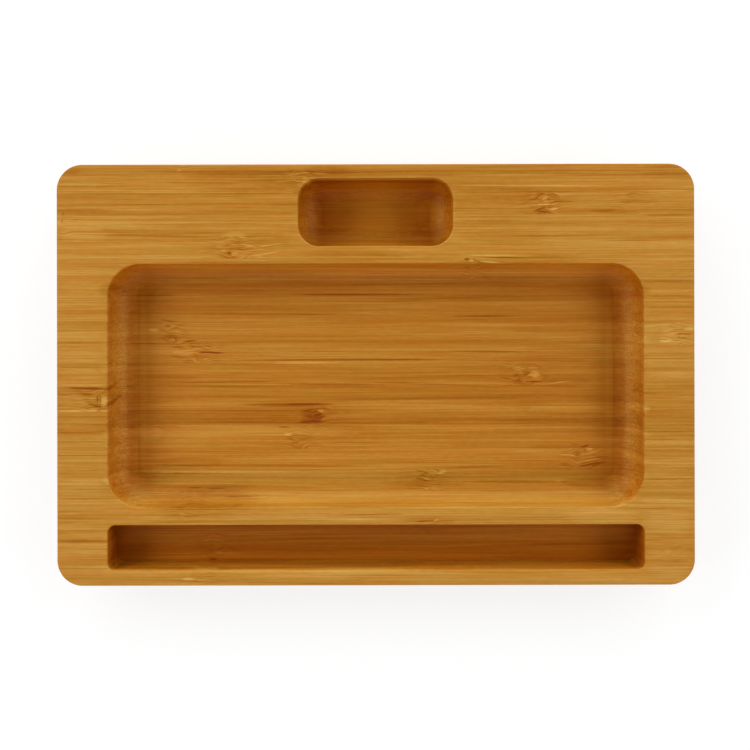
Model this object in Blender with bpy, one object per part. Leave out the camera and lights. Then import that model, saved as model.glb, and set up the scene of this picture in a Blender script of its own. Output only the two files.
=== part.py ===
"""Bamboo desk tray: a board of edge-glued bamboo staves with three milled pockets.

Units are metres. X runs along the staves, +Y points to the back edge and +Z is up.
The origin is the centre of the underside.
"""
import math

import bmesh
import bpy

# Board
BOARD_THICKNESS = 0.025
BOARD_CORNER_RADIUS = 0.012
BOARD_EASING = 0.001
SIDE_RIM = 0.0238

# Rows across the board, from the front edge to the back edge
FRONT_RIM = 0.0073
SLOT_WIDTH = 0.0212
FRONT_BRIDGE = 0.0083
LARGE_WIDTH = 0.1145
BACK_BRIDGE = 0.0083
SMALL_WIDTH = 0.0317
BACK_RIM = 0.0069

# Pockets
LARGE_LENGTH = 0.2524
LARGE_CORNER_RADIUS = 0.0155
LARGE_DEPTH = 0.015
SMALL_LENGTH = 0.0732
SMALL_DEPTH = 0.020
SLOT_DEPTH = 0.0135
SLOT_CORNER_RADIUS = 0.0035
ROUND_NOSE_RADIUS = 0.0101
POCKET_EASING = 0.0006

# Staves and the glue between them
FULL_STAVES = 19
TRIMMED_STAVE_WIDTH = 0.00325
GLUE_LINE = 0.0003

# Sizes that follow from the ones above
SLOT_LENGTH = LARGE_LENGTH
SMALL_CORNER_RADIUS = ROUND_NOSE_RADIUS
BOARD_LENGTH = LARGE_LENGTH + 2 * SIDE_RIM
BOARD_WIDTH = (FRONT_RIM + SLOT_WIDTH + FRONT_BRIDGE + LARGE_WIDTH
               + BACK_BRIDGE + SMALL_WIDTH + BACK_RIM)
FRONT_EDGE = -BOARD_WIDTH / 2
SLOT_FRONT = FRONT_EDGE + FRONT_RIM
LARGE_FRONT = SLOT_FRONT + SLOT_WIDTH + FRONT_BRIDGE
SMALL_FRONT = LARGE_FRONT + LARGE_WIDTH + BACK_BRIDGE
STAVE_PITCH = (BOARD_WIDTH - TRIMMED_STAVE_WIDTH) / FULL_STAVES

# Steps in each quarter turn
CORNER_STEPS = 12
FLOOR_STEPS = 10
EASING_STEPS = 3

# Points closer than this share of the easing are one point
WELD_SHARE = 0.001

# Bamboo finish: linear colours of the palest and the darkest stave
PALE_BAMBOO = (0.53, 0.245, 0.044)
DARK_BAMBOO = (0.46, 0.195, 0.029)
BAMBOO_ROUGHNESS = 0.55
TONE_TURN_SHARE = 0.618
SMOOTH_LIMIT = math.radians(30)


def clear_scene():
    for thing in list(bpy.data.objects):
        bpy.data.objects.remove(thing)


def quarter_turn(steps):
    """Cosine and sine at each step from 0 to 90 degrees."""
    return [(math.cos(turn), math.sin(turn))
            for turn in (math.pi / 2 * step / steps for step in range(steps + 1))]


def rounded_rectangle(length, width, radius, centre_y, z):
    """Points anticlockwise round a rectangle with round corners, centred on X."""
    points = []
    for side_x, side_y in ((1, 1), (-1, 1), (-1, -1), (1, -1)):
        arc = quarter_turn(CORNER_STEPS)
        if side_x != side_y:
            arc.reverse()
        for cosine, sine in arc:
            x = side_x * (length / 2 - radius + radius * cosine)
            y = side_y * (width / 2 - radius + radius * sine)
            points.append((x, centre_y + y, z))
    return points


def ring(mesh, length, width, radius, centre_y, inset, z):
    """One loop of points, drawn in by the inset, with its corner radius drawn in too."""
    points = rounded_rectangle(length - 2 * inset, width - 2 * inset,
                               max(radius - inset, 0), centre_y, z)
    return [mesh.verts.new(point) for point in points]


def wall(mesh, rings):
    """Four-sided faces between each ring and the next."""
    for lower, upper in zip(rings, rings[1:]):
        for index in range(len(lower)):
            after = (index + 1) % len(lower)
            mesh.faces.new((lower[index], lower[after], upper[after], upper[index]))


def loop_edges(mesh, loop):
    return [mesh.edges.get((loop[index - 1], loop[index])) for index in range(len(loop))]


def add_outside(mesh):
    """Underside, sides and eased edges; gives back the edges round the top."""
    profile = [(BOARD_EASING * (1 - sine), BOARD_EASING * (1 - cosine))
               for cosine, sine in quarter_turn(EASING_STEPS)]
    profile += [(inset, BOARD_THICKNESS - z) for inset, z in reversed(profile)]
    rings = [ring(mesh, BOARD_LENGTH, BOARD_WIDTH, BOARD_CORNER_RADIUS, 0, inset, z)
             for inset, z in profile]
    mesh.faces.new(rings[0])
    wall(mesh, rings)
    return loop_edges(mesh, rings[-1])


def add_pocket(mesh, length, width, radius, front_y, depth, floor_radius):
    """Floor, floor fillet, wall and eased mouth; gives back the edges round the mouth."""
    centre_y = front_y + width / 2
    floor_z = BOARD_THICKNESS - depth
    profile = [(0, floor_z)]
    if floor_radius > 0:
        profile = [(floor_radius * (1 - sine), floor_z + floor_radius * (1 - cosine))
                   for cosine, sine in quarter_turn(FLOOR_STEPS)]
    profile += [(-POCKET_EASING * (1 - cosine), BOARD_THICKNESS - POCKET_EASING * (1 - sine))
                for cosine, sine in quarter_turn(EASING_STEPS)]
    rings = [ring(mesh, length, width, radius, centre_y, inset, z) for inset, z in profile]
    mesh.faces.new(rings[0])
    wall(mesh, rings)
    return loop_edges(mesh, rings[-1])


def milled_board():
    """The whole board as it leaves the router, before its glue lines are drawn."""
    board = bmesh.new()
    top_edges = add_outside(board)
    top_edges += add_pocket(board, LARGE_LENGTH, LARGE_WIDTH, LARGE_CORNER_RADIUS,
                            LARGE_FRONT, LARGE_DEPTH, ROUND_NOSE_RADIUS)
    top_edges += add_pocket(board, SMALL_LENGTH, SMALL_WIDTH, SMALL_CORNER_RADIUS,
                            SMALL_FRONT, SMALL_DEPTH, ROUND_NOSE_RADIUS)
    top_edges += add_pocket(board, SLOT_LENGTH, SLOT_WIDTH, SLOT_CORNER_RADIUS,
                            SLOT_FRONT, SLOT_DEPTH, 0)
    bmesh.ops.triangle_fill(board, edges=top_edges, use_beauty=True)
    bmesh.ops.remove_doubles(board, verts=board.verts, dist=WELD_SHARE * POCKET_EASING)
    bmesh.ops.recalc_face_normals(board, faces=board.faces)
    return board


def saw(piece, y, keep_back):
    """Cuts the piece square at y, keeps one side of the cut and closes it."""
    parts = piece.verts[:] + piece.edges[:] + piece.faces[:]
    cut = bmesh.ops.bisect_plane(piece, geom=parts, plane_co=(0, y, 0), plane_no=(0, 1, 0),
                                 clear_inner=keep_back, clear_outer=not keep_back)
    rim = [item for item in cut["geom_cut"] if isinstance(item, bmesh.types.BMEdge)]
    bmesh.ops.edgeloop_fill(piece, edges=rim)


def bamboo(number):
    """One stave's own shade of bamboo."""
    tone = (number * TONE_TURN_SHARE) % 1
    colour = [pale + (dark - pale) * tone for pale, dark in zip(PALE_BAMBOO, DARK_BAMBOO)]
    material = bpy.data.materials.new(f"bamboo_{number:02d}")
    material.use_nodes = True
    shader = material.node_tree.nodes["Principled BSDF"]
    shader.inputs["Base Color"].default_value = (*colour, 1)
    shader.inputs["Roughness"].default_value = BAMBOO_ROUGHNESS
    shader.inputs["Metallic"].default_value = 0
    return material


def add_stave(board, number, front_y, back_y):
    """The part of the board between two glue lines, or between one and the board's edge."""
    piece = board.copy()
    if front_y > FRONT_EDGE:
        saw(piece, front_y + GLUE_LINE / 2, keep_back=True)
    if back_y < -FRONT_EDGE:
        saw(piece, back_y - GLUE_LINE / 2, keep_back=False)
    bmesh.ops.recalc_face_normals(piece, faces=piece.faces)
    name = f"stave_{number:02d}"
    mesh = bpy.data.meshes.new(name)
    piece.to_mesh(mesh)
    piece.free()
    mesh.shade_smooth()
    mesh.set_sharp_from_angle(angle=SMOOTH_LIMIT)
    mesh.materials.append(bamboo(number))
    stave = bpy.data.objects.new(name, mesh)
    bpy.context.scene.collection.objects.link(stave)


def add_staves():
    """Full staves from the front edge, and one trimmed stave along the back edge."""
    board = milled_board()
    glue_lines = [FRONT_EDGE + STAVE_PITCH * count for count in range(1, FULL_STAVES + 1)]
    edges = [FRONT_EDGE, *glue_lines, -FRONT_EDGE]
    for number, (front_y, back_y) in enumerate(zip(edges, edges[1:]), start=1):
        add_stave(board, number, front_y, back_y)
    board.free()


clear_scene()
add_staves()
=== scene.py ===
import math

import bmesh
import bpy
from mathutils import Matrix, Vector


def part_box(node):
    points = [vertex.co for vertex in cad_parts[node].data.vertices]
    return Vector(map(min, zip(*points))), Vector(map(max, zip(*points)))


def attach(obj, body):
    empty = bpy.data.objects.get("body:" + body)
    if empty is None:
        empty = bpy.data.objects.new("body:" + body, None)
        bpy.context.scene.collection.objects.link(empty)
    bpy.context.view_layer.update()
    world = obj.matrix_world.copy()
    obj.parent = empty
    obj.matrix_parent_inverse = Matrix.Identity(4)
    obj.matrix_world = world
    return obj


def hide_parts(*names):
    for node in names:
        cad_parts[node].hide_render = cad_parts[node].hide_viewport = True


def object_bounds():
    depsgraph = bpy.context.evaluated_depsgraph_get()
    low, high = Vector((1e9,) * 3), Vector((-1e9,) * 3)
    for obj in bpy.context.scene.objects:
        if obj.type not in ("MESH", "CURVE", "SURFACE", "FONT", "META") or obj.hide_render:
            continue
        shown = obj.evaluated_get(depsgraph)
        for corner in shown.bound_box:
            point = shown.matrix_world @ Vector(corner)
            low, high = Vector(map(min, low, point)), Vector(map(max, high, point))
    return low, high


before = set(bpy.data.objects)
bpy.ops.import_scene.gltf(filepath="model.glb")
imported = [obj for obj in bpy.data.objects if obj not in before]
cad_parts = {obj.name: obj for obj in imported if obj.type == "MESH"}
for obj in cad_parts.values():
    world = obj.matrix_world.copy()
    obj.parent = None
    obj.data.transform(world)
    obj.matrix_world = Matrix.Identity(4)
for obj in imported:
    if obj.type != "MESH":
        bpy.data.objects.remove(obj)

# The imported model's box, from which the board takes its size
cad_low, cad_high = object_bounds()
BOARD_LENGTH = cad_high.x - cad_low.x
BOARD_THICKNESS = cad_high.z
BOARD_WIDTH = cad_high.y - cad_low.y
BOARD_CORNER_RADIUS = 0.012
BOARD_EASING = 0.0006

# Pockets, in metres: the large one, the small one behind it and the slot in front
SIDE_RIM = 0.0238
FRONT_RIM = 0.0073
SLOT_WIDTH = 0.0212
FRONT_BRIDGE = 0.0083
LARGE_WIDTH = 0.1145
BACK_BRIDGE = 0.0083
SMALL_WIDTH = 0.0317
LARGE_CORNER_RADIUS = 0.0155
LARGE_DEPTH = 0.015
SMALL_LENGTH = 0.0732
SMALL_DEPTH = 0.020
SLOT_DEPTH = 0.0135
SLOT_CORNER_RADIUS = 0.0035
ROUND_NOSE_RADIUS = 0.0101
POCKET_EASING = 0.0006
LARGE_LENGTH = BOARD_LENGTH - 2 * SIDE_RIM
SLOT_LENGTH = LARGE_LENGTH
SLOT_FRONT = cad_low.y + FRONT_RIM
LARGE_FRONT = SLOT_FRONT + SLOT_WIDTH + FRONT_BRIDGE
SMALL_FRONT = LARGE_FRONT + LARGE_WIDTH + BACK_BRIDGE

# Tool mark: the cutter's last pass round a pocket runs this much below its floor
TOOL_MARK_DEPTH = 0.00012
TOOL_MARK_WIDTH = 0.0005

# Steps in each quarter turn
CORNER_STEPS = 24
FLOOR_STEPS = 20
EASING_STEPS = 5

# Points closer than this are one point, edges sharper than this stay sharp, and a face whose
# normal lies this close to an axis is flat
WELD = 1e-6
SMOOTH_LIMIT = math.radians(40)
FLAT_LIMIT = 0.99999

# Camera: straight above the tray, turned and framed as in the photograph. The foot point is the
# pixel right under it, and a pixel's size holds at the tray's top
PHOTO_SIDE = 750
PIXEL = 0.00047
CAMERA_HEIGHT = 0.385
CAMERA_TURN = math.radians(-0.12)
CAMERA_FOOT_X = 378.0
CAMERA_FOOT_Y = 280.0
TRAY_CENTRE_X = 375.6
TRAY_CENTRE_Y = 374.8
SENSOR = 36.0

# Light: a dim dome and seven long lamps, as azimuth from +Y, elevation and watts
WORLD_STRENGTH = 0.136
LAMPS = {"back": (0, 10, 10.5), "front": (180, 10, 5.3), "front high": (180, 45, 3.1),
         "left": (-90, 30, 6.3), "right": (90, 30, 5.3),
         "back left": (-45, 30, 6.1), "back right": (45, 30, 5.5)}
LAMP_DISTANCE = 1.3
LAMP_LENGTH = 1.2
LAMP_HEIGHT = 0.45

# Floor and backdrop: what the floor gives back as light, what it shows itself, and how far out
# its own glow grows to plain white
FLOOR_REACH = 3.0
FLOOR_COLOUR = 0.5
FLOOR_SHOWN_COLOUR = 0.35
FLOOR_GLOW = 0.7
FLOOR_FADE = (0.6, 1.2)
BACKDROP_HEIGHT = 1.8
BACKDROP_STEPS = 96

WHITE = (1, 1, 1, 1)
BLACK = (0, 0, 0, 1)

# Bamboo colours, linear, from the darkest fibres to the palest, and two casts of them
BAMBOO_RAMP = ((0.00, (0.262, 0.062, 0.001)),
               (0.25, (0.385, 0.135, 0.007)),
               (0.50, (0.503, 0.220, 0.026)),
               (0.75, (0.622, 0.325, 0.068)),
               (1.00, (0.730, 0.430, 0.130)))
MIDDLE_TONE = 0.5
REDDISH = (1.02, 0.96, 0.94)
YELLOWISH = (0.98, 1.04, 1.05)
BAMBOO_ROUGHNESS = 0.5
ROUGHNESS_SWING = 0.04
BAMBOO_SPECULAR = 0.12
FIBRE_RELIEF = 0.00002

# Noise: the shares of its shift along, across and through a stave, and the middle and the gain
# that take it to between about -1 and 1
NOISE_SHIFT_SHARES = (1.0, 0.7, 1.3)
NOISE_MIDDLE = 0.5
NOISE_GAIN = 3

# Grain: each noise's cell in metres along, across and through a stave, its shift and detail
BAND_NOISE = ((0.160, 0.0035, 0.0120), 3)
STREAK_NOISE = ((0.080, 0.0012, 0.0035), 11, 1)
FIBRE_NOISE = ((0.045, 0.00042, 0.0008), 23, 1)
THREAD_NOISE = ((0.020, 0.00016, 0.0003), 31)
MOTTLE_NOISE = ((0.004, 0.0010, 0.002), 37)
BUSY_NOISE = ((0.050, 0.0060, 0.010), 43)
DASH_NOISE = ((0.040, 0.0005, 0.0009), 47)
SEAM_NOISE = ((0.120, 0.0004, 0.0040), 53)
LINE_NOISE = ((0.060, 0.0004, 0.0030), 59)
DOT_NOISE = ((0.020, 0.0004, 0.0004), 61)
HUE_NOISE = ((0.035, 0.0020, 0.008), 67, 1)
CHATTER_NOISE = ((0.0011, 0.0008, 0.0008), 89, 1)

# How much each of them changes the tone, and the busy one how much fibres do. Dots and chatter
# show on end grain alone. The rarer ones rise between two levels, and threads are in the relief
BAND_SHARE = 0.10
STREAK_SHARE = 0.11
FIBRE_SHARE = 0.10
THREAD_SHARE = 0.05
MOTTLE_SHARE = 0.035
BUSY_SHARE = 0.4
DASH_SHARE = 0.14
SEAM_SHARE = 0.17
LINE_SHARE = 0.11
DOT_SHARE = 0.12
CHATTER_SHARE = 0.15
DASH_LIMITS = (0.42, 0.95)
SEAM_LIMITS = (0.65, 1.0)
LINE_LIMITS = (0.50, 1.0)
THREAD_RELIEF = 0.5
HUE_MIDDLE = 0.5

# End grain shows where a face looks along the fibres
END_GRAIN_FACING = (0.15, 0.9)

# Each stave is cut from another place in the grain, and its glue lines are darker here and there
STAVE_SHIFT = (0.37, 0.0, 0.11)
GLUE_WIDTH = 0.00018
GLUE_CELL = (0.04, 0.004, 0.01)
GLUE_SHIFT = 5
GLUE_LIMITS = (-0.6, 0.8)
GLUE_SHARE = 0.2

# Knuckles: the half length of the core, how far fibres wander and curl in metres, how much they
# spread round the core, and the short scratches and the darker halo
KNUCKLE_CORE = 0.0045
WAVE_NOISE = ((0.010, 0.0045, 0.010), 71)
CURL_NOISE = ((0.0035, 0.0018, 0.004), 83)
SCRATCH_NOISE = ((0.0045, 0.0004, 0.0020), 97)
KNUCKLE_WAVE = 0.0012
KNUCKLE_CURL = 0.0006
KNUCKLE_SPREAD = 0.3
DARK_SCRATCH_LIMITS = (0.1, 0.6)
PALE_SCRATCH_LIMITS = (0.15, 0.7)
DARK_SCRATCH_SHARE = 0.22
PALE_SCRATCH_SHARE = 0.14
HALO_LENGTH_SHARE = 0.8
HALO_WIDTH = 0.0035
HALO_SHARE = 0.06

# Marks: how strong they are on the whole, how ragged, where their edge fades, and the heights
# between which they set in, so that none shows on the underside
MARK_STRENGTH = 1.25
RAGGED_NOISE = ((0.0030, 0.0005, 0.0030), 113)
RAGGED_SHARE = 0.3
MARK_EDGE = (0.2, 1.6)
MARKS_FADE = (0.002, 0.004)

# Painted shade and light, as shares of the wood's colour: the milled wood is painted deeper than
# the top, more so in hollows and most in their corners, and the others paint shade and light on
# single walls and stand for light thrown from wall to wall
DEPTH_SHADE_TINT = (0.97, 0.85, 0.61)
HOLLOW_SHADE_TINT = (0.90, 0.66, 0.23)
CORNER_SHADE_TINT = (0.73, 0.59, 0.15)
BACK_WALL_SHADE_TINT = (1.01, 0.93, 0.50)
SLOT_END_SHADE_TINT = (0.77, 0.68, 0.42)
SLOT_WALL_SHADE_TINT = (0.79, 0.69, 0.30)
LARGE_END_SHADE_TINT = (0.95, 1.01, 1.00)
LARGE_FRONT_LIGHT_TINT = (0.94, 1.05, 1.04)
SMALL_SHADE_TINT = (1.00, 1.00, 0.60)
SMALL_END_LIGHT_TINT = (1.03, 1.16, 1.50)
SMALL_EDGE_SHADE_TINT = (0.68, 0.52, 0.35)

# Where the painted shade sets in, in metres: the depth, the distance from the outside and how it
# fades, and how deep the slot wall's painted shade lies and reaches
PAINTED_SHADE_DEPTH = 0.0035
RIM_MARGIN = 0.0025
RIM_FADE = 0.001
SLOT_WALL_DEPTH = 0.003
SLOT_WALL_REACH = 0.0035

# How far a face has to be turned to count as an end, a wall or an end of the small pocket
END_FACING = (0.3, 0.8)
WALL_FACING = (0.1, 0.7)
SMALL_END_FACING = (0.05, 0.5)

# Painted shade in hollows and corners: how far other walls count, and how open a hollow and a
# corner still are
HOLLOW_REACH = 0.03
HOLLOW_OPENNESS = (0.56, 1.0)
CORNER_OPENNESS = (0.38, 0.53)

# What the light from the back spares from the painted shade: walls that face it, less in the small
# pocket and towards an end, and the foot of the large pocket's front wall but near its ends
WALL_SPARED = 0.4
END_SPARED = 0.2
SMALL_WALL_LOSS = 0.35
END_WALL_LOSS = 0.7
LIT_FLOOR_REACH = 0.007
LIT_FLOOR_LOSS = 0.8
LIT_FLOOR_END = (0.025, 0.008)

# Parts of the photograph that show a pocket's floor, end wall or front fillet: left, top, right
# and bottom pixel, and how deep the wood lies there
END_WALL_DEPTH = 0.010
FRONT_FILLET_DEPTH = 0.007
FLOORS_SEEN = ((125, 280, 626, 490, LARGE_DEPTH), (108, 525, 643, 566, SLOT_DEPTH),
               (308, 188, 444, 238, SMALL_DEPTH), (107, 263, 125, 507, END_WALL_DEPTH),
               (626, 263, 644, 507, END_WALL_DEPTH), (125, 490, 626, 508, FRONT_FILLET_DEPTH))

# For each stave from the front edge: how pale it is, and how much paler it gets to its front
STAVE_TONES = ((0.03, 0.00), (0.00, -0.10), (0.02, -0.05), (0.03, 0.00), (0.00, 0.00),
               (0.00, -0.10), (0.00, 0.05), (-0.10, -0.08), (-0.08, 0.00), (-0.01, -0.05),
               (0.03, -0.05), (0.03, 0.00), (-0.02, 0.00), (-0.02, 0.00), (0.04, 0.00),
               (0.015, 0.03), (0.03, 0.00), (-0.04, -0.06), (-0.04, 0.10), (-0.05, 0.00))

# Knuckles of each stave, in pixels of the photograph: where along it they are, how strong they
# are, and how far they bend the fibres to the left and to the right
KNUCKLES = {
    1: ((199, 0.6, 14, 24),),
    2: ((204, 0.7, 18, 30), (674, 0.4, 14, 8)),
    3: ((429, 0.6, 20, 14),),
    4: ((182, 0.5, 14, 20),),
    5: ((432, 0.9, 24, 14),),
    6: ((588, 1.0, 22, 24),),
    7: ((294, 0.8, 14, 24),),
    8: ((314, 1.0, 16, 12),),
    9: ((96, 1.0, 26, 12),),
    10: ((529, 1.0, 24, 22),),
    11: ((191, 1.0, 20, 26),),
    12: ((164, 0.9, 14, 20), (676, 0.8, 14, 16)),
    15: ((474, 0.9, 12, 20),),
    16: ((230, 1.0, 20, 34),),
    17: ((63, 0.4, 6, 14),),
    18: ((545, 1.0, 20, 20), (632, 0.4, 26, 26)),
    19: ((303, 0.8, 24, 24),),
    20: ((179, 0.4, 8, 10),),
}

# Single marks in the grain, in pixels of the photograph: place, half length, half height,
# how much it falls per pixel to the right, and how pale or dark it is. First the eyes and
# flecks of the knuckles
KNUCKLE_MARKS = (
    # front rim
    (188, 579, 6, 1.3, 0, 0.25), (217, 577, 17, 0.7, 0.06, -0.05),
    # slot, and the right rim beside it
    (213, 559, 4, 1.4, 0, -0.2), (226, 553, 14, 0.7, 0.05, 0.15), (668, 551, 3, 1.6, 0, 0.07),
    # front bridge
    (427, 521, 9, 0.8, -0.05, -0.22), (436, 520, 3, 0.8, -0.4, 0.25), (417, 523, 12, 0.6, 0, 0.1),
    (187, 512, 8, 2.5, 0, 0.05), (174, 516, 9, 0.7, 0.03, -0.05),
    # large floor, front middle
    (424, 476, 4, 0.7, 0.3, -0.28), (423, 480, 6, 0.7, 0.25, -0.24), (430, 479, 8, 0.6, 0, 0.22),
    (435, 477, 4, 0.9, -0.6, -0.12), (442, 472, 4, 2, -0.2, 0.27), (421, 471, 7, 0.6, 0.2, -0.22),
    (434, 473, 6, 0.6, 0.05, 0.08),
    # large floor, front right
    (585, 446, 4, 0.9, -0.3, -0.35), (574, 444, 5, 0.7, 0.1, -0.18), (590, 449, 3, 1.3, 0, 0.34),
    (568, 455, 8, 0.7, 0.08, 0.2), (589, 453, 10, 0.7, -0.22, 0.24),
    (590, 460, 14, 0.7, -0.2, 0.34), (593, 464, 13, 1.4, -0.16, -0.25),
    (601, 457, 9, 1, -0.1, -0.18),
    # large floor, the two left of its middle
    (288, 434, 4, 1.8, 0.1, 0.25), (284, 427, 6, 0.9, 0, -0.22), (291, 439, 4, 0.7, 0.3, -0.15),
    (295, 443, 4, 0.8, 0.1, -0.22), (312, 434, 4, 0.6, 0, -0.14),
    (311, 414, 11, 8, 0, -0.13), (308, 404, 22, 1, 0, -0.28), (320, 411, 3.5, 1.6, 0.1, 0.3),
    (321, 415, 5, 1.3, 0, -0.1), (278, 418, 15, 3.5, 0, -0.03), (312, 421.5, 12, 1.6, -0.05, -0.3),
    # left rim and end wall
    (88, 388.5, 19, 1.1, 0.02, -0.4), (85, 394, 10, 0.8, 0.05, -0.16),
    (97.5, 399, 0.9, 5, 0, -0.2), (100.5, 400, 0.7, 4, 0, -0.22), (104, 401, 3.5, 4.5, 0, 0.26),
    (96, 406, 8, 0.9, 0.3, -0.22), (114, 386, 5, 2, -1, -0.12), (115, 401, 5.5, 2.5, -1.1, -0.14),
    # large floor, right
    (517, 368, 5, 2.6, 0, 0.12), (529, 368, 9, 0.6, -0.05, 0.26), (527, 372, 7, 0.5, 0, -0.22),
    (534, 374, 6, 3.5, 0, 0.26), (506, 378, 7, 0.8, 0.15, -0.18), (518, 381, 6, 0.8, 0.15, -0.22),
    (533, 381.5, 8, 0.8, -0.03, -0.26), (545, 378, 5, 0.8, -0.5, -0.08),
    (495, 374.5, 12, 0.6, 0.08, 0.08), (561, 382, 14, 0.6, -0.15, 0.22),
    # large floor, the two on its left
    (190, 341, 8, 0.8, -0.1, -0.34), (178, 347, 8, 0.8, 0, -0.2), (196, 346.5, 9, 0.8, 0.05, -0.28),
    (183, 349, 5, 0.7, 0, -0.1), (208, 346, 5, 0.7, 0.15, -0.2), (185, 353, 12, 3, 0, 0.13),
    (179, 357, 9, 1, 0.12, -0.16), (212, 352.5, 13, 0.9, 0.04, -0.42),
    (170, 321, 9, 0.7, 0.15, -0.24), (168, 326, 3, 1.1, 0, -0.22), (163, 331, 5, 1, 0.2, -0.1),
    (154, 330, 6, 1.6, 0, 0.24), (170, 336, 8, 0.8, 0, -0.2),
    # right rim
    (668, 331, 8, 3, 0, 0.08), (689, 329, 5, 2, 0, 0.2), (684, 334, 8, 1, 0, -0.24),
    (683, 338, 6, 1.1, 0.1, -0.26), (666, 341, 6, 1.4, 0, 0.26),
    # back bridge
    (467, 259, 3, 1.2, 0, -0.4), (471, 260, 3, 1.7, 0.2, 0.2), (477, 259.5, 2.5, 1.2, 0, 0.15),
    (490, 262, 12, 0.7, 0.1, 0.26), (500, 257.5, 22, 0.7, 0.03, -0.22),
    # left of the small pocket, down to the back bridge and out to the left edge
    (234, 235, 12, 3, 0, 0.12), (206, 239, 16, 0.7, -0.05, -0.06),
    (229, 244.5, 6, 0.7, -0.35, -0.08), (247, 245.3, 9, 0.7, 0.18, 0.16),
    (269, 245, 11, 0.7, -0.14, 0.2), (213, 250, 9, 0.7, 0, -0.08), (229, 253, 2.3, 1.5, 0, -0.26),
    (235, 254.5, 4, 1.6, 0, 0.1), (267, 253.7, 13, 0.7, -0.16, 0.2),
    (63, 214, 0.9, 2.5, 0, -0.12), (62, 221, 0.9, 2, 0, -0.2),
    # right of the small pocket
    (538, 197, 5, 0.7, -0.7, -0.24), (534, 199, 5, 0.7, -0.1, -0.22),
    (545, 200, 6, 0.6, -0.4, -0.2), (549, 195, 4, 0.6, -0.3, -0.12), (556, 195, 4, 0.7, 0.4, -0.18),
    (545, 204.5, 12, 0.7, -0.04, 0.3), (540, 209, 6, 0.8, -0.35, -0.34),
    (545, 212, 8, 0.8, 0.1, -0.34), (554, 209, 4, 1.3, -0.2, 0.28), (562, 201.5, 14, 0.7, 0, -0.2),
    (636, 202, 20, 1.3, 0, -0.1), (606, 210, 12, 1, 0, -0.07),
    # back rim, and the small pocket's back left corner
    (292, 169.5, 6, 1, 0, -0.08), (268, 175.5, 18, 0.6, 0, 0.09), (294, 174, 8, 0.6, -0.18, 0.13),
    (315, 173, 12, 0.6, 0.08, 0.22), (285, 183, 8, 0.8, 0, -0.05), (306, 181, 4, 3, 0, 0.18),
    (179, 170, 2, 1.2, 0, 0.14),
)
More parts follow.
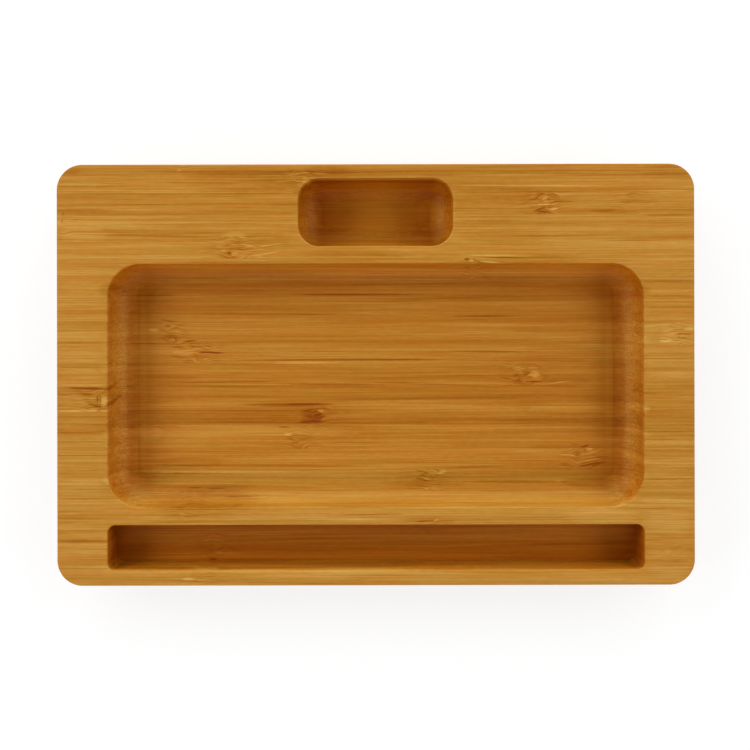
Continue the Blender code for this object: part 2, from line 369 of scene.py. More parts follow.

# Then the streaks that stand out of the grain, and painted shade and light on single walls and
# floors
STREAKS_AND_SHADES = (
    # large floor
    (376, 419.5, 245, 3.6, 0.008, -0.1), (376, 423, 245, 1.0, 0.008, -0.1),
    (254, 465.5, 116, 1.7, 0.006, -0.13), (347, 359.7, 105, 1.1, 0, -0.3),
    (437, 398, 98, 1.3, -0.01, -0.12), (286, 404.7, 46, 1.7, 0, -0.28),
    (517, 482, 56, 1.4, 0, -0.2), (358, 294.6, 66, 1, 0, -0.22),
    (298, 314.3, 86, 0.9, 0.007, -0.19), (334, 384.3, 52, 1, 0.007, -0.2),
    (431, 384.2, 66, 0.9, 0.035, -0.12), (228, 382, 50, 0.8, -0.01, -0.22),
    (488, 351.5, 40, 0.9, 0.014, -0.2), (483, 316, 32, 0.8, 0, -0.24),
    (472, 467, 28, 1.2, -0.026, -0.14), (450, 406, 160, 1.8, 0.013, 0.05),
    (492, 427, 122, 1.7, 0, 0.08), (212, 426.4, 72, 1.5, 0.02, 0.11),
    (224, 471.7, 80, 1.1, 0.005, 0.2), (176, 353, 30, 1.4, 0.015, 0.04),
    (304, 362.8, 34, 1.2, 0, 0.16),
    # slot
    (240, 541, 120, 1.4, -0.03, -0.08), (543, 545, 90, 2.2, -0.024, -0.08),
    (290, 558.8, 110, 0.7, 0, -0.12),
    # back rims and both bridges
    (153, 236, 74, 1.2, 0.027, -0.12), (236, 211, 50, 1, 0.02, -0.05),
    (554, 236, 48, 0.7, 0, -0.12), (540, 191.5, 40, 0.8, 0.015, -0.11),
    (612, 212.5, 22, 1.2, 0.074, -0.12), (232, 188.5, 29, 0.9, 0.017, -0.04),
    (366, 514.6, 38, 0.7, -0.018, -0.25), (183, 185, 115, 1.9, 0.005, 0.03),
    (534, 185.6, 80, 1, 0.01, 0.14), (392, 249.7, 92, 1.9, 0, 0.06),
    (501, 255.5, 38, 0.8, 0.013, 0.25), (170, 258, 44, 1, -0.02, 0.03),
    (202, 519, 66, 1.2, 0, 0.02), (325, 518.6, 52, 1.5, 0.02, 0.08),
    # left rim
    (82, 184.5, 30, 1.6, 0, 0.14), (82, 210.5, 34, 1.8, 0, -0.12), (82, 365, 34, 2.6, 0, -0.11),
    (82, 385, 28, 1.2, 0, 0.16), (82, 411, 28, 1.2, 0, 0.24), (82, 431.5, 32, 3, 0, -0.06),
    (82, 437, 28, 1.6, 0, 0.03), (82, 484.5, 28, 2, 0, 0.13), (82, 499, 28, 0.7, 0, -0.18),
    (82, 519, 30, 0.7, 0, -0.08), (84, 541, 28, 1.1, 0, -0.16), (82, 343, 28, 0.7, 0, -0.14),
    # right rim
    (668, 174, 30, 1.5, 0, -0.08), (668, 191, 26, 1.5, 0, 0.12), (668, 215, 28, 1.2, 0, -0.17),
    (668, 281, 30, 0.8, 0, -0.12), (668, 290, 28, 2.0, 0, 0.09), (668, 296, 30, 0.7, 0, -0.18),
    (668, 304, 28, 1.1, 0, 0.11), (668, 368, 30, 1.1, 0, -0.09), (668, 374.5, 26, 2.2, 0, 0.09),
    (668, 442, 28, 1.1, 0, 0.07), (668, 451, 28, 2, 0, -0.04), (668, 479, 30, 0.8, 0, -0.24),
    (668, 501, 28, 2.0, 0, 0.12), (668, 562.5, 28, 3, 0, -0.05),
    # large pocket's back fillet with a painted shade line along it, the floor before it, and its
    # front fillet
    (376, 277.3, 250, 1.8, 0, -0.16), (150, 295.3, 26, 0.9, 0, -0.25),
    (192, 491.5, 8, 0.7, 0, -0.2), (214, 492, 11, 0.7, 0, -0.2), (236, 499, 16, 0.6, 0, -0.15),
    # small pocket, painted light on its floor
    (376, 214, 66, 21, 0, 0.28), (432, 215, 14, 18, 0, 0.14),
    # large pocket's left end wall, painted highlights and shade
    (118, 476, 9, 5, 0, 0.1), (118, 430, 9, 5, 0, 0.1), (117, 404.5, 9, 3, 0, 0.04),
    (116, 396, 9, 3, 0, -0.04), (116, 367, 9, 4, 0, 0.06), (116, 290, 10, 7, 0, -0.1),
    # large pocket's right end wall, painted highlights and shade
    (634, 430, 9, 5, 0, 0.08), (634, 406, 9, 4, 0, 0.16), (634, 472, 9, 6, 0, 0.03),
    (634, 456, 9, 4, 0, 0.06), (634, 338, 9, 5, 0, 0.08), (634, 290, 10, 6, 0, -0.08),
)

# Last the broad paler and deeper patches, with painted shade and light along the large pocket's
# fillets
PATCHES_AND_SHADES = (
    # large floor and its fillets; the long bars along the fillets' feet are painted shade, the
    # paler ones beside them painted light
    (587, 482, 27, 4.5, 0, -0.16), (230, 432, 120, 8, 0, 0.12), (430, 417, 110, 14, 0, 0.11),
    (330, 466, 200, 11, 0, 0.12), (427, 483, 42, 3.5, 0, -0.12), (366, 360, 150, 7, 0, 0.09),
    (208, 407, 74, 6, 0, 0.09), (166, 379, 34, 6, 0, -0.1), (560, 353, 44, 10, 0, -0.08),
    (550, 327, 46, 6, 0, -0.09), (412, 290, 95, 6, 0, 0.08), (335, 317, 200, 4.5, 0, 0.08),
    (132, 385, 5, 105, 0, -0.1), (143, 385, 4, 105, 0, 0.06), (619, 385, 6, 105, 0, -0.12),
    (609, 385, 4, 105, 0, 0.05), (614, 300, 6, 30, 0, -0.04),
    (205, 492, 50, 3, 0, -0.12), (200, 500, 60, 6, 0, -0.17), (190, 462, 38, 5, 0, -0.11),
    (155, 472, 20, 4, 0, 0.1), (149, 432, 14, 9, 0, 0.09), (569, 407, 40, 6, 0, 0.1),
    (381, 445, 80, 6, 0, 0.08), (159, 288, 24, 5, 0, 0.09), (566, 446, 34, 9, 0, -0.07),
    (566, 381, 24, 7, 0, -0.07),
    # one on the front bridge, one on the back rim and two more on the large floor
    (604, 516, 36, 7, 0, 0.1), (196, 184, 75, 4, 0, 0.07),
    (285, 477.5, 145, 4, 0, 0.09), (430, 401, 95, 5, 0, 0.07),
    # slot
    (300, 556, 190, 6, 0, 0.15),
    # back rims and back bridge, with the left rim beside them
    (245, 182, 56, 16, 0, -0.08), (200, 222, 100, 5, 0, -0.08), (266, 239, 32, 5, 0, -0.1),
    (82, 234, 26, 7, 0, 0.12), (66, 170, 14, 5, 0, -0.08), (325, 172, 28, 6, 0, -0.1),
    (533, 259, 45, 4, 0, -0.12), (356, 255, 52, 7, 0, -0.09), (500, 193, 46, 6, 0, -0.1),
    (500, 237, 46, 6, 0, -0.1), (655, 208, 46, 6, 0, 0.07),
    # front bridge and front rim
    (305, 511, 70, 3, 0, 0.09), (428, 521, 28, 4, 0, -0.1), (300, 578, 52, 4, 0, 0.08),
    (196, 517, 38, 5, 0, -0.07),
    # left rim
    (82, 287, 26, 6, 0, 0.07), (82, 357, 26, 6, 0, 0.07), (82, 374, 26, 5, 0, 0.1),
    (82, 402, 26, 6, 0, 0.1), (82, 426, 26, 7, 0, 0.1), (82, 490, 26, 9, 0, 0.07),
    # right rim
    (676, 337, 16, 7, 0, 0.09), (668, 476, 26, 10, 0, 0.08), (668, 521, 26, 11, 0, 0.1),
    (668, 561, 26, 15, 0, 0.1),
)


def quarter_turn(steps):
    """Cosine and sine at each step from 0 to 90 degrees."""
    return [(math.cos(turn), math.sin(turn))
            for turn in (math.pi / 2 * step / steps for step in range(steps + 1))]


def rounded_rectangle(length, width, radius, centre_y, z):
    """Points anticlockwise round a rectangle with round corners, centred on X."""
    points = []
    for side_x, side_y in ((1, 1), (-1, 1), (-1, -1), (1, -1)):
        arc = quarter_turn(CORNER_STEPS)
        if side_x != side_y:
            arc.reverse()
        for cosine, sine in arc:
            x = side_x * (length / 2 - radius + radius * cosine)
            y = side_y * (width / 2 - radius + radius * sine)
            points.append((x, centre_y + y, z))
    return points


def ring(mesh, length, width, radius, centre_y, inset, z):
    """One loop of points, drawn in by the inset, with its corner radius drawn in too."""
    points = rounded_rectangle(length - 2 * inset, width - 2 * inset,
                               max(radius - inset, 0), centre_y, z)
    return [mesh.verts.new(point) for point in points]


def wall(mesh, rings):
    """Four-sided faces between each ring and the next."""
    for lower, upper in zip(rings, rings[1:]):
        for index in range(len(lower)):
            after = (index + 1) % len(lower)
            mesh.faces.new((lower[index], lower[after], upper[after], upper[index]))


def loop_edges(mesh, loop):
    """The edges between the points of a loop."""
    return [mesh.edges.get((loop[index - 1], loop[index])) for index in range(len(loop))]


def add_outside(mesh):
    """Underside, sides and eased edges; gives back the edges round the top."""
    profile = [(BOARD_EASING * (1 - sine), BOARD_EASING * (1 - cosine))
               for cosine, sine in quarter_turn(EASING_STEPS)]
    profile += [(inset, BOARD_THICKNESS - z) for inset, z in reversed(profile)]
    rings = [ring(mesh, BOARD_LENGTH, BOARD_WIDTH, BOARD_CORNER_RADIUS, 0, inset, z)
             for inset, z in profile]
    mesh.faces.new(rings[0])
    wall(mesh, rings)
    return loop_edges(mesh, rings[-1])


def add_pocket(mesh, length, width, radius, front_y, depth, floor_radius):
    """Floor, tool mark, floor fillet, wall and eased mouth; gives back the mouth's edges."""
    centre_y = front_y + width / 2
    floor_z = BOARD_THICKNESS - depth
    profile = [(0, floor_z)]
    if floor_radius > 0:
        profile = [(floor_radius * (1 - sine), floor_z + floor_radius * (1 - cosine))
                   for cosine, sine in quarter_turn(FLOOR_STEPS)]
        profile.insert(0, (floor_radius + TOOL_MARK_WIDTH, floor_z + TOOL_MARK_DEPTH))
    profile += [(-POCKET_EASING * (1 - cosine), BOARD_THICKNESS - POCKET_EASING * (1 - sine))
                for cosine, sine in quarter_turn(EASING_STEPS)]
    rings = [ring(mesh, length, width, radius, centre_y, inset, z) for inset, z in profile]
    mesh.faces.new(rings[0])
    wall(mesh, rings)
    return loop_edges(mesh, rings[-1])


def milled_board():
    """The whole board as it leaves the router, before it is parted at its glue lines."""
    board = bmesh.new()
    top_edges = add_outside(board)
    top_edges += add_pocket(board, LARGE_LENGTH, LARGE_WIDTH, LARGE_CORNER_RADIUS,
                            LARGE_FRONT, LARGE_DEPTH, ROUND_NOSE_RADIUS)
    top_edges += add_pocket(board, SMALL_LENGTH, SMALL_WIDTH, ROUND_NOSE_RADIUS,
                            SMALL_FRONT, SMALL_DEPTH, ROUND_NOSE_RADIUS)
    top_edges += add_pocket(board, SLOT_LENGTH, SLOT_WIDTH, SLOT_CORNER_RADIUS,
                            SLOT_FRONT, SLOT_DEPTH, 0)
    bmesh.ops.triangle_fill(board, edges=top_edges, use_beauty=True)
    bmesh.ops.remove_doubles(board, verts=board.verts, dist=WELD)
    bmesh.ops.recalc_face_normals(board, faces=board.faces)
    return board


def saw(piece, y, keep_back):
    """Cuts the piece square at y, keeps one side of the cut and closes it."""
    parts = piece.verts[:] + piece.edges[:] + piece.faces[:]
    cut = bmesh.ops.bisect_plane(piece, geom=parts, plane_co=(0, y, 0), plane_no=(0, 1, 0),
                                 clear_inner=keep_back, clear_outer=not keep_back)
    rim = [item for item in cut["geom_cut"] if isinstance(item, bmesh.types.BMEdge)]
    bmesh.ops.edgeloop_fill(piece, edges=rim)


def add_stave(board, node, front_y, back_y):
    """The part of the board between two glue lines, in the place of its node."""
    piece = board.copy()
    if front_y > cad_low.y:
        saw(piece, front_y, keep_back=True)
    if back_y < cad_high.y:
        saw(piece, back_y, keep_back=False)
    bmesh.ops.recalc_face_normals(piece, faces=piece.faces)
    for face in piece.faces:
        face.smooth = max(abs(share) for share in face.normal) < FLAT_LIMIT
    mesh = bpy.data.meshes.new(f"{node}_wood")
    piece.to_mesh(mesh)
    piece.free()
    mesh.set_sharp_from_angle(angle=SMOOTH_LIMIT)
    stave = bpy.data.objects.new(f"{node}_wood", mesh)
    bpy.context.scene.collection.objects.link(stave)
    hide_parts(node)
    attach(stave, "root")
    return stave


def add_staves():
    """Every stave, meeting its neighbours face to face at the glue lines."""
    nodes = sorted(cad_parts)
    boxes = [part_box(node) for node in nodes]
    glue_lines = [(ahead[1].y + behind[0].y) / 2 for ahead, behind in zip(boxes, boxes[1:])]
    edges = [cad_low.y, *glue_lines, cad_high.y]
    board = milled_board()
    grain = grain_group()
    knuckle = knuckle_group()
    mark = mark_group()
    for number, (node, front_y, back_y) in enumerate(zip(nodes, edges, edges[1:]), start=1):
        stave = add_stave(board, node, front_y, back_y)
        stave.data.materials.append(bamboo(number, front_y, back_y, grain, knuckle, mark))
    board.free()


class Wire:
    """A value in a node tree; arithmetic with it adds Math nodes."""

    def __init__(self, tree, socket):
        self.tree = tree
        self.socket = socket

    def math(self, operation, *others):
        return add_node(self.tree, "ShaderNodeMath", self, *others, operation=operation)

    def __add__(self, other):
        return self.math("ADD", other)

    def __sub__(self, other):
        return self.math("SUBTRACT", other)

    def __rsub__(self, other):
        return (self * -1).math("ADD", other)

    def __mul__(self, other):
        return self.math("MULTIPLY", other)

    def __truediv__(self, other):
        return self.math("DIVIDE", other)


def plug(tree, socket, value):
    """Links a wire to the socket, or sets the socket to a plain value."""
    if isinstance(value, Wire):
        tree.links.new(value.socket, socket)
    else:
        socket.default_value = value


def add_node(tree, kind, *values, output=0, **settings):
    """A node with its first inputs filled in turn; gives back one of its outputs."""
    node = tree.nodes.new(kind)
    for name, value in settings.items():
        setattr(node, name, value)
    for socket, value in zip(node.inputs, values):
        plug(tree, socket, value)
    return Wire(tree, node.outputs[output])


def vector(tree, operation, *values, output=0):
    """Vector arithmetic."""
    return add_node(tree, "ShaderNodeVectorMath", *values, operation=operation, output=output)


def split(tree, place):
    """The three parts of a vector."""
    node = tree.nodes.new("ShaderNodeSeparateXYZ")
    plug(tree, node.inputs[0], place)
    return [Wire(tree, socket) for socket in node.outputs]


def noise(tree, place, cell, shift, detail=0):
    """Noise between about -1 and 1, in cells of the given length, width and height."""
    density = tuple(1 / length for length in cell)
    offset = tuple(shift * share for share in NOISE_SHIFT_SHARES)
    node = tree.nodes.new("ShaderNodeTexNoise")
    plug(tree, node.inputs["Vector"], vector(tree, "MULTIPLY_ADD", place, density, offset))
    node.inputs["Scale"].default_value = 1
    node.inputs["Detail"].default_value = detail
    return (Wire(tree, node.outputs["Fac"]) - NOISE_MIDDLE) * NOISE_GAIN


def rise(tree, value, low, high):
    """0 below the low value, 1 above the high one, smooth between them."""
    node = tree.nodes.new("ShaderNodeMapRange")
    node.interpolation_type = "SMOOTHSTEP"
    for name, part in (("Value", value), ("From Min", low), ("From Max", high)):
        plug(tree, node.inputs[name], part)
    return Wire(tree, node.outputs["Result"])


def bell(distance, width):
    """1 at no distance, falling to nothing a few widths away."""
    share = distance / width
    return (share * share * -1).math("EXPONENT")


def mix_colour(tree, share, first, second):
    """The first colour where the share is 0, and the second where it is 1."""
    node = tree.nodes.new("ShaderNodeMix")
    node.data_type = "RGBA"
    sockets = [socket for socket in node.inputs if socket.type == "RGBA"]
    plug(tree, node.inputs[0], share)
    plug(tree, sockets[0], first)
    plug(tree, sockets[1], second)
    return Wire(tree, [socket for socket in node.outputs if socket.type == "RGBA"][0])


def new_group(name, inputs, outputs):
    """A node group with its input wires by name, and its output node."""
    tree = bpy.data.node_groups.new(name, "ShaderNodeTree")
    for title, kind in inputs.items():
        tree.interface.new_socket(title, in_out="INPUT", socket_type=kind)
    for title, kind in outputs.items():
        tree.interface.new_socket(title, in_out="OUTPUT", socket_type=kind)
    start = tree.nodes.new("NodeGroupInput")
    end = tree.nodes.new("NodeGroupOutput")
    return tree, [Wire(tree, start.outputs[title]) for title in inputs], end


def use_group(tree, group, **values):
    """The outputs of a group that is used once more, by name."""
    node = tree.nodes.new("ShaderNodeGroup")
    node.node_tree = group
    for name, value in values.items():
        plug(tree, node.inputs[name], value)
    return {socket.name: Wire(tree, socket) for socket in node.outputs}


def grain_group():
    """Fibres of straight bamboo: long streaks along X, and dots across it."""
    tree, (place,), end = new_group(
        "bamboo grain", {"Place": "NodeSocketVector"},
        {"Tone": "NodeSocketFloat", "Hue": "NodeSocketFloat", "Dots": "NodeSocketFloat",
         "Relief": "NodeSocketFloat"})
    band = noise(tree, place, *BAND_NOISE)
    streak = noise(tree, place, *STREAK_NOISE)
    fibre = noise(tree, place, *FIBRE_NOISE)
    thread = noise(tree, place, *THREAD_NOISE)
    mottle = noise(tree, place, *MOTTLE_NOISE)
    dash = rise(tree, noise(tree, place, *DASH_NOISE), *DASH_LIMITS)
    seam = rise(tree, noise(tree, place, *SEAM_NOISE), *SEAM_LIMITS)
    line = rise(tree, noise(tree, place, *LINE_NOISE), *LINE_LIMITS)
    busy = noise(tree, place, *BUSY_NOISE) * BUSY_SHARE + 1
    tone = (band * BAND_SHARE + streak * STREAK_SHARE
            + (fibre * FIBRE_SHARE + thread * THREAD_SHARE) * busy + mottle * MOTTLE_SHARE
            - dash * DASH_SHARE - seam * SEAM_SHARE + line * LINE_SHARE)
    plug(tree, end.inputs["Tone"], tone)
    plug(tree, end.inputs["Hue"], noise(tree, place, *HUE_NOISE) + HUE_MIDDLE)
    dots = noise(tree, place, *DOT_NOISE)
    chatter = noise(tree, place, *CHATTER_NOISE)
    plug(tree, end.inputs["Dots"], dots * DOT_SHARE + chatter * CHATTER_SHARE)
    plug(tree, end.inputs["Relief"], fibre + thread * THREAD_RELIEF - dash - seam)
    return tree


def knuckle_group():
    """A growth node of the culm, where the fibres wander and short scratches cross them."""
    tree, (place, at_x, at_y, strength, reach_left, reach_right), end = new_group(
        "bamboo knuckle",
        {"Place": "NodeSocketVector", "X": "NodeSocketFloat", "Y": "NodeSocketFloat",
         "Strength": "NodeSocketFloat", "Reach left": "NodeSocketFloat",
         "Reach right": "NodeSocketFloat"},
        {"Shift": "NodeSocketVector", "Tone": "NodeSocketFloat"})
    x, y = split(tree, place)[:2]
    along = x - at_x
    across = y - at_y
    right = along.math("GREATER_THAN", 0)
    reach = reach_left + (reach_right - reach_left) * right
    near = bell(along, reach) * strength
    core = bell(along, KNUCKLE_CORE) * strength
    wave = noise(tree, place, *WAVE_NOISE)
    curl = noise(tree, place, *CURL_NOISE)
    shift_y = near * wave * KNUCKLE_WAVE + core * (curl * KNUCKLE_CURL - across * KNUCKLE_SPREAD)
    shift = add_node(tree, "ShaderNodeCombineXYZ", 0.0, shift_y, 0.0)
    plug(tree, end.inputs["Shift"], shift)
    scratch = noise(tree, vector(tree, "ADD", place, shift), *SCRATCH_NOISE)
    dark = rise(tree, scratch * -1, *DARK_SCRATCH_LIMITS)
    pale = rise(tree, scratch, *PALE_SCRATCH_LIMITS)
    halo = bell(along, reach * HALO_LENGTH_SHARE) * bell(across, HALO_WIDTH) * strength
    tone = near * (pale * PALE_SCRATCH_SHARE - dark * DARK_SCRATCH_SHARE) - halo * HALO_SHARE
    plug(tree, end.inputs["Tone"], tone)
    return tree


def mark_group():
    """A ragged lens-shaped patch with a soft edge."""
    tree, (place, at_x, at_y, length, height, slope), end = new_group(
        "bamboo mark",
        {"Place": "NodeSocketVector", "X": "NodeSocketFloat", "Y": "NodeSocketFloat",
         "Length": "NodeSocketFloat", "Height": "NodeSocketFloat", "Slope": "NodeSocketFloat"},
        {"Share": "NodeSocketFloat"})
    x, y = split(tree, place)[:2]
    along = x - at_x
    across = (y - at_y + along * slope) / height
    along = along / length
    ragged = noise(tree, place, *RAGGED_NOISE) * RAGGED_SHARE + 1
    distance = (along * along + across * across) * ragged
    plug(tree, end.inputs["Share"], 1 - rise(tree, distance, *MARK_EDGE))
    return tree


def on_tray(pixel_x, pixel_y):
    """Where on the tray a pixel of the photograph lies, in metres."""
    depth = 0.0
    for left, top, right, bottom, floor_depth in FLOORS_SEEN:
        if left < pixel_x < right and top < pixel_y < bottom:
            depth = floor_depth
    spread = PIXEL * (1 + depth / CAMERA_HEIGHT)
    right = (pixel_x - CAMERA_FOOT_X) * spread
    up = (CAMERA_FOOT_Y - pixel_y) * spread
    return ((CAMERA_FOOT_X - TRAY_CENTRE_X) * PIXEL + right - up * CAMERA_TURN,
            (TRAY_CENTRE_Y - CAMERA_FOOT_Y) * PIXEL + up + right * CAMERA_TURN)


def inside_share(tree, x, y, z):
    """0 on the outer sides and the underside, and 1 a little way in from them."""
    to_side = x.math("ABSOLUTE") * -1 + BOARD_LENGTH / 2
    to_edge = y.math("ABSOLUTE") * -1 + BOARD_WIDTH / 2
    to_outside = to_side.math("MINIMUM", to_edge).math("MINIMUM", z)
    return rise(tree, to_outside, RIM_MARGIN, RIM_MARGIN + RIM_FADE)


def open_share(tree):
    """How much of what lies over a place is open, with 1 where no wall stands near."""
    near = tree.nodes.new("ShaderNodeAmbientOcclusion")
    near.inputs["Distance"].default_value = HOLLOW_REACH
    return Wire(tree, near.outputs["AO"])


def painted_shade_tint(tree, place, normal):
    """White on the outside, painted shade where the wood is milled and where walls stand near, and
    painted light where the back light falls and on the small pocket's ends.
    """
    x, y, z = split(tree, place)
    depth = z * -1 + BOARD_THICKNESS
    in_slot = 1 - rise(tree, y, LARGE_FRONT - FRONT_BRIDGE, LARGE_FRONT)
    in_small = rise(tree, y, SMALL_FRONT - BACK_BRIDGE, SMALL_FRONT)
    in_large = 1 - in_slot - in_small
    inside = inside_share(tree, x, y, z)

    turned_to_end = normal[0].math("ABSOLUTE")
    facing_end = rise(tree, turned_to_end, *END_FACING)
    # Painted highlight on the small pocket's ends
    small_end_light = rise(tree, turned_to_end, *SMALL_END_FACING) * in_small * inside
    facing_back = (rise(tree, normal[1], *WALL_FACING) * (1 - in_small * SMALL_WALL_LOSS)
                   * (1 - facing_end * END_WALL_LOSS))
    facing_front = rise(tree, normal[1] * -1, *WALL_FACING) * inside

    # Painted shade that deepens below the top, less on walls that face the back light
    spared = (facing_back * WALL_SPARED).math("MAXIMUM", facing_end * END_SPARED)
    depth_shade = rise(tree, depth, 0, PAINTED_SHADE_DEPTH) * (1 - spared) * inside
    # Painted light on the large pocket's front wall and its foot, where the back light falls, but
    # near its ends
    lit_floor_ends = [LARGE_LENGTH / 2 - reach for reach in LIT_FLOOR_END]
    near_end = rise(tree, x.math("ABSOLUTE"), *lit_floor_ends)
    lit_floor = (bell(y - (LARGE_FRONT + ROUND_NOSE_RADIUS), LIT_FLOOR_REACH)
                 * (1 - near_end * LIT_FLOOR_LOSS))
    lit_from_back = lit_floor.math("MAXIMUM", facing_back)
    # Painted shade where walls stand near over a place, deepest in the corners
    openness = open_share(tree)
    hollow = (1 - rise(tree, openness, *HOLLOW_OPENNESS)) * (1 - lit_from_back) * inside
    corner = (1 - rise(tree, openness, *CORNER_OPENNESS)) * inside
    # Painted shade on the slot's front wall, a little way below its mouth
    slot_wall_shade = facing_back * in_slot * inside * bell(depth - SLOT_WALL_DEPTH, SLOT_WALL_REACH)
    # Painted shade on the small pocket's back wall just under its mouth
    below_mouth = rise(tree, depth, POCKET_EASING, 2 * POCKET_EASING)
    small_edge_shade = facing_front * in_small * (1 - below_mouth)

    # Each painted shade or light: where it falls, and its tint
    tints = ((depth_shade, DEPTH_SHADE_TINT),
             (hollow, HOLLOW_SHADE_TINT),
             (corner, CORNER_SHADE_TINT),
             (facing_front, BACK_WALL_SHADE_TINT),
             (facing_end * in_slot * inside, SLOT_END_SHADE_TINT),
             (slot_wall_shade, SLOT_WALL_SHADE_TINT),
             (facing_end * in_large * inside, LARGE_END_SHADE_TINT),
             (lit_from_back * (1 - facing_end) * in_large * inside, LARGE_FRONT_LIGHT_TINT),
             (depth_shade * in_small, SMALL_SHADE_TINT),
             (small_end_light, SMALL_END_LIGHT_TINT),
             (small_edge_shade, SMALL_EDGE_SHADE_TINT))
    parts = [mix_colour(tree, share, WHITE, (*colour, 1)) for share, colour in tints]
    tint = parts[0]
    for part in parts[1:]:
        tint = vector(tree, "MULTIPLY", tint, part)
    return tint


def stave_level(tree, place, number, front_y, back_y):
    """How pale the stave is from its front to its back, with the glue lines at its edges."""
    tone, paler_ahead = STAVE_TONES[number - 1]
    y = split(tree, place)[1]
    width = back_y - front_y
    ahead = ((front_y + back_y) / 2 - y) / width
    glue = bell((ahead.math("ABSOLUTE") - 0.5) * width, GLUE_WIDTH)
    glue_share = rise(tree, noise(tree, place, GLUE_CELL, number * GLUE_SHIFT), *GLUE_LIMITS)
    return ahead * paler_ahead + (MIDDLE_TONE + tone) - glue * glue_share * GLUE_SHARE


def stave_marks_and_shades(tree, place, front_y, back_y, mark):
    """The sum of the marks and the painted shade and light that reach the stave, which fade out
    towards the underside.
    """
    marks_and_shades = 0.0
    for pixel_x, pixel_y, length, height, slope, paleness in KNUCKLE_MARKS + STREAKS_AND_SHADES + PATCHES_AND_SHADES:
        mark_x, mark_y = on_tray(pixel_x, pixel_y)
        reach_y = (height + abs(slope) * length) * PIXEL
        if front_y - reach_y < mark_y < back_y + reach_y:
            patch = use_group(tree, mark, Place=place, X=mark_x, Y=mark_y,
                              Length=length * PIXEL, Height=height * PIXEL, Slope=slope)
            marks_and_shades = patch["Share"] * (paleness * MARK_STRENGTH) + marks_and_shades
    z = split(tree, place)[2]
    return rise(tree, z, *MARKS_FADE) * marks_and_shades


def bamboo(number, front_y, back_y, grain, knuckle, mark):
    """One stave's bamboo, with its own tone, knuckles and marks."""
    material = bpy.data.materials.new(f"bamboo_{number:02d}")
    material.use_nodes = True
    tree = material.node_tree
    shader = tree.nodes["Principled BSDF"]
    place = add_node(tree, "ShaderNodeTexCoord", output="Object")
    normal = split(tree, add_node(tree, "ShaderNodeNewGeometry", output="Normal"))
    level = stave_level(tree, place, number, front_y, back_y)
    shift = tuple(number * length for length in STAVE_SHIFT)
    grain_place = vector(tree, "ADD", place, shift)
    for pixel_x, strength, reach_left, reach_right in KNUCKLES.get(number, ()):
        knot = use_group(tree, knuckle, Place=place, X=on_tray(pixel_x, 0)[0],
                         Y=(front_y + back_y) / 2, Strength=strength,
                         **{"Reach left": reach_left * PIXEL, "Reach right": reach_right * PIXEL})
        grain_place = vector(tree, "ADD", grain_place, knot["Shift"])
        level = level + knot["Tone"]
    fibres = use_group(tree, grain, Place=grain_place)
    end_grain = rise(tree, normal[0].math("ABSOLUTE"), *END_GRAIN_FACING)
    level = level + stave_marks_and_shades(tree, place, front_y, back_y, mark)
    level = level + fibres["Tone"] + end_grain * fibres["Dots"]

    ramp = tree.nodes.new("ShaderNodeValToRGB")
    fill_ramp(ramp.color_ramp)
    plug(tree, ramp.inputs[0], level)
    hue = mix_colour(tree, fibres["Hue"], (*REDDISH, 1), (*YELLOWISH, 1))
    wood = vector(tree, "MULTIPLY", Wire(tree, ramp.outputs[0]), hue)
    # Painted shade and light in the pockets
    wood = vector(tree, "MULTIPLY", wood, painted_shade_tint(tree, place, normal))
    plug(tree, shader.inputs["Base Color"], wood)
    roughness = fibres["Relief"] * ROUGHNESS_SWING + BAMBOO_ROUGHNESS
    plug(tree, shader.inputs["Roughness"], roughness)
    shader.inputs["Specular IOR Level"].default_value = BAMBOO_SPECULAR
    bump = tree.nodes.new("ShaderNodeBump")
    bump.inputs["Distance"].default_value = FIBRE_RELIEF
    plug(tree, bump.inputs["Height"], fibres["Relief"])
    tree.links.new(bump.outputs["Normal"], shader.inputs["Normal"])
    return material


def fill_ramp(ramp):
    """The bamboo colours on a colour ramp."""
    while len(ramp.elements) < len(BAMBOO_RAMP):
        ramp.elements.new(MIDDLE_TONE)
    for element, (share, colour) in zip(ramp.elements, BAMBOO_RAMP):
        element.position = share
        element.color = (*colour, 1)


def add_camera():
    """Looks straight down from above the photograph's foot point; the shift frames the tray."""
    data = bpy.data.cameras.new("camera")
    data.sensor_width = SENSOR
    data.lens = SENSOR * CAMERA_HEIGHT / (PHOTO_SIDE * PIXEL)
    data.shift_x = (PHOTO_SIDE / 2 - CAMERA_FOOT_X) / PHOTO_SIDE
    data.shift_y = (CAMERA_FOOT_Y - PHOTO_SIDE / 2) / PHOTO_SIDE
    camera = bpy.data.objects.new("camera", data)
    camera.location = ((CAMERA_FOOT_X - TRAY_CENTRE_X) * PIXEL,
                       (TRAY_CENTRE_Y - CAMERA_FOOT_Y) * PIXEL,
                       BOARD_THICKNESS + CAMERA_HEIGHT)
    camera.rotation_euler = (0, 0, CAMERA_TURN)
    bpy.context.scene.collection.objects.link(camera)
    bpy.context.scene.camera = camera


def add_world():
    """A plain dim dome."""
    world = bpy.data.worlds.new("studio")
    world.use_nodes = True
    light = world.node_tree.nodes["Background"]
    light.inputs["Color"].default_value = WHITE
    light.inputs["Strength"].default_value = WORLD_STRENGTH
    bpy.context.scene.world = world


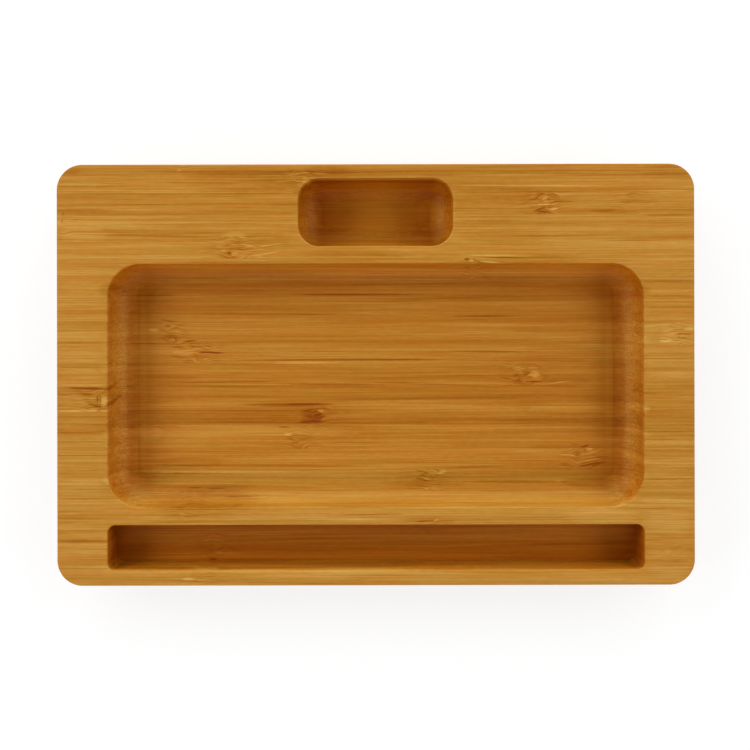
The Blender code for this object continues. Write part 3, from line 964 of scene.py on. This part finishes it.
def add_lamp(name, azimuth, elevation, watts):
    """A long soft lamp that faces the tray."""
    data = bpy.data.lights.new(name, "AREA")
    data.shape = "RECTANGLE"
    data.size = LAMP_LENGTH
    data.size_y = LAMP_HEIGHT
    data.energy = watts
    turn = math.radians(azimuth)
    tilt = math.radians(elevation)
    away = Vector((math.sin(turn) * math.cos(tilt), math.cos(turn) * math.cos(tilt),
                   math.sin(tilt)))
    lamp = bpy.data.objects.new(name, data)
    lamp.location = away * LAMP_DISTANCE
    lamp.rotation_mode = "QUATERNION"
    lamp.rotation_quaternion = (-away).to_track_quat("-Z", "Y")
    bpy.context.scene.collection.objects.link(lamp)


def seen_directly(tree):
    """1 for rays from the camera, a mirror or glass, and 0 for rays that only carry light."""
    path = tree.nodes.new("ShaderNodeLightPath")
    camera, glossy, through = (Wire(tree, path.outputs[name]) for name in
                               ("Is Camera Ray", "Is Glossy Ray", "Is Transmission Ray"))
    return camera.math("MAXIMUM", glossy).math("MAXIMUM", through)


def add_stage_piece(name, points, faces):
    """A piece of the studio that glows white; gives back it, its node tree and its shader."""
    mesh = bpy.data.meshes.new(name)
    mesh.from_pydata(points, [], faces)
    piece = bpy.data.objects.new(name, mesh)
    bpy.context.scene.collection.objects.link(piece)
    material = bpy.data.materials.new(name)
    material.use_nodes = True
    shader = material.node_tree.nodes["Principled BSDF"]
    shader.inputs["Specular IOR Level"].default_value = 0
    shader.inputs["Emission Color"].default_value = WHITE
    mesh.materials.append(material)
    return piece, material.node_tree, shader


def add_floor():
    """A white floor that keeps a faint shadow of the tray."""
    corners = [(x * FLOOR_REACH, y * FLOOR_REACH, 0)
               for x, y in ((-1, -1), (1, -1), (1, 1), (-1, 1))]
    floor, tree, shader = add_stage_piece("floor", corners, [(0, 1, 2, 3)])
    shown = seen_directly(tree)
    colour = shown * (FLOOR_SHOWN_COLOUR - FLOOR_COLOUR) + FLOOR_COLOUR
    plug(tree, shader.inputs["Base Color"], colour)
    place = add_node(tree, "ShaderNodeTexCoord", output="Object")
    far = rise(tree, vector(tree, "LENGTH", place, output="Value"), *FLOOR_FADE)
    glow = shown * (far * (1 - FLOOR_GLOW) + FLOOR_GLOW)
    plug(tree, shader.inputs["Emission Strength"], glow)


def add_backdrop():
    """A low ring round the floor that shows as white and gives the same light as the dome."""
    turns = [2 * math.pi * step / BACKDROP_STEPS for step in range(BACKDROP_STEPS)]
    points = [(math.cos(turn) * FLOOR_REACH, math.sin(turn) * FLOOR_REACH, z)
              for z in (0, BACKDROP_HEIGHT) for turn in turns]
    faces = [(step, (step + 1) % BACKDROP_STEPS, (step + 1) % BACKDROP_STEPS + BACKDROP_STEPS,
              step + BACKDROP_STEPS) for step in range(BACKDROP_STEPS)]
    backdrop, tree, shader = add_stage_piece("backdrop", points, faces)
    shader.inputs["Base Color"].default_value = BLACK
    glow = seen_directly(tree) * (1 - WORLD_STRENGTH) + WORLD_STRENGTH
    plug(tree, shader.inputs["Emission Strength"], glow)


bpy.context.scene.view_settings.view_transform = "Standard"
add_staves()
add_camera()
add_world()
for lamp_name, (lamp_azimuth, lamp_elevation, lamp_watts) in LAMPS.items():
    add_lamp(lamp_name, lamp_azimuth, lamp_elevation, lamp_watts)
add_floor()
add_backdrop()
